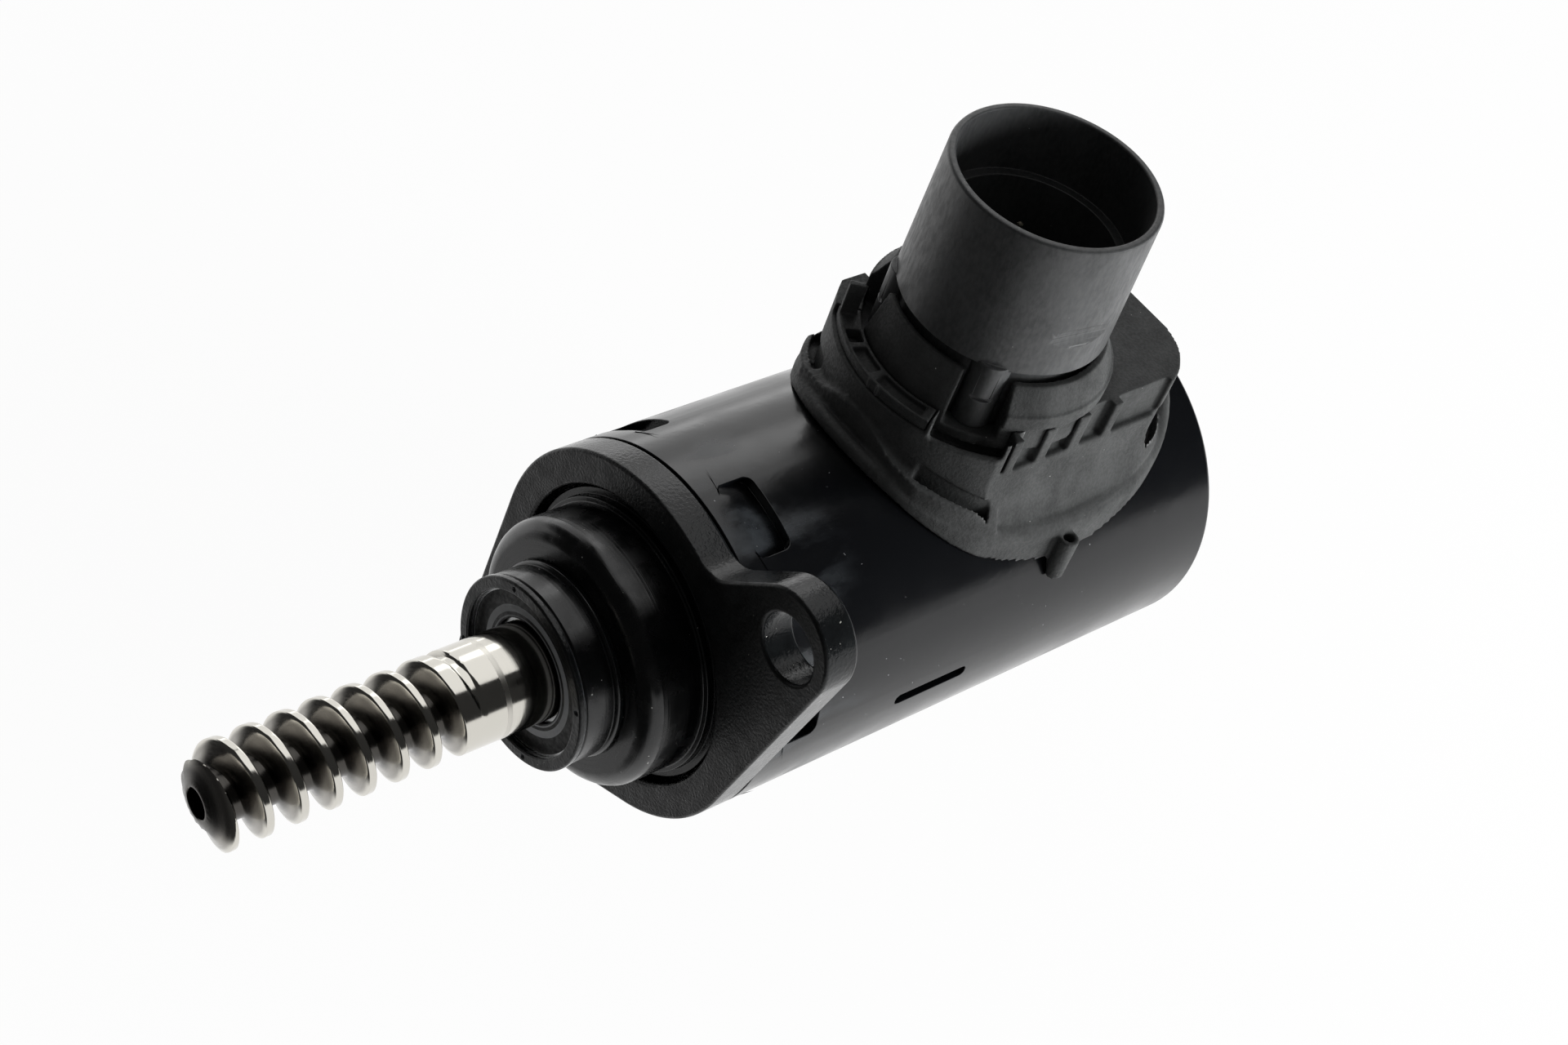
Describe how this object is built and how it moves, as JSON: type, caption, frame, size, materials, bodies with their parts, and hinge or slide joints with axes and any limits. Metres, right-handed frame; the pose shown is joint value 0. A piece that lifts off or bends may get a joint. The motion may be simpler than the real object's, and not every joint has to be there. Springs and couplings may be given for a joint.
{
  "type": "worm drive actuator motor",
  "caption": "Small electric actuator motor with a two-eared flange, a stepped bearing nose, a ground steel worm shaft and a round plug connector on its can.",
  "frame": {"origin": "where the motor axis meets the front face of the mounting flange", "axes": "+X along the motor axis, from the worm towards the can's closed rear; +Z along the plug connector's axis, up from the can; +Y completes the right-handed frame"},
  "size_m": [0.146, 0.0594, 0.0996],
  "materials": {
    "can_lacquer": "gloss",
    "flange_coating": "satin",
    "housing_coating": "satin",
    "ground_steel": "ground",
    "bearing_steel": "ground",
    "ball_steel": "polished",
    "cage_plastic": "moulded",
    "seal_rubber": "matt",
    "lamination_steel": "stamped",
    "bobbin_plastic": "moulded",
    "copper": "bare",
    "magnet": "sintered",
    "bracket_steel": "stamped",
    "board_laminate": "lacquered",
    "connector_plastic": "moulded",
    "sleeve_plastic": "moulded",
    "contact_metal": "tin plated"
  },
  "bodies": {
    "housing": {"motor_can": "can_lacquer", "mounting_flange": "flange_coating", "front_housing": "housing_coating", "nose_ring": "flange_coating", "front_bearing_outer_ring": "bearing_steel", "front_bearing_balls": "ball_steel", "front_bearing_cage": "cage_plastic", "front_bearing_seal": "seal_rubber", "stator_core": "lamination_steel", "stator_bobbins": "bobbin_plastic", "stator_windings": "copper", "busbar_rings": "copper", "rear_bearing_outer_ring": "bearing_steel", "rear_bearing_balls": "ball_steel", "rear_bearing_cage": "cage_plastic", "rear_bearing_bracket": "bracket_steel", "wave_washer": "bracket_steel", "sensor_board": "board_laminate", "sensor_chip": "seal_rubber", "base_gasket": "seal_rubber", "connector_base": "connector_plastic", "guide_collar": "connector_plastic", "clip_ring": "connector_plastic", "connector_sleeve": "sleeve_plastic", "terminal_carrier": "connector_plastic", "terminal_pins": "contact_metal", "lead_frame": "copper"},
    "rotor": {"worm_shaft": "ground_steel", "front_bearing_inner_ring": "bearing_steel", "shaft_circlip": "bracket_steel", "rotor_core": "lamination_steel", "rotor_magnets": "magnet", "rear_bearing_inner_ring": "bearing_steel", "sensor_magnet": "magnet"}
  },
  "joints": [
    {"name": "rotor_spin", "type": "hinge", "parent": "housing", "child": "rotor", "pos_m": [0, 0, 0], "axis": [1, 0, 0], "continuous": true}
  ]
}
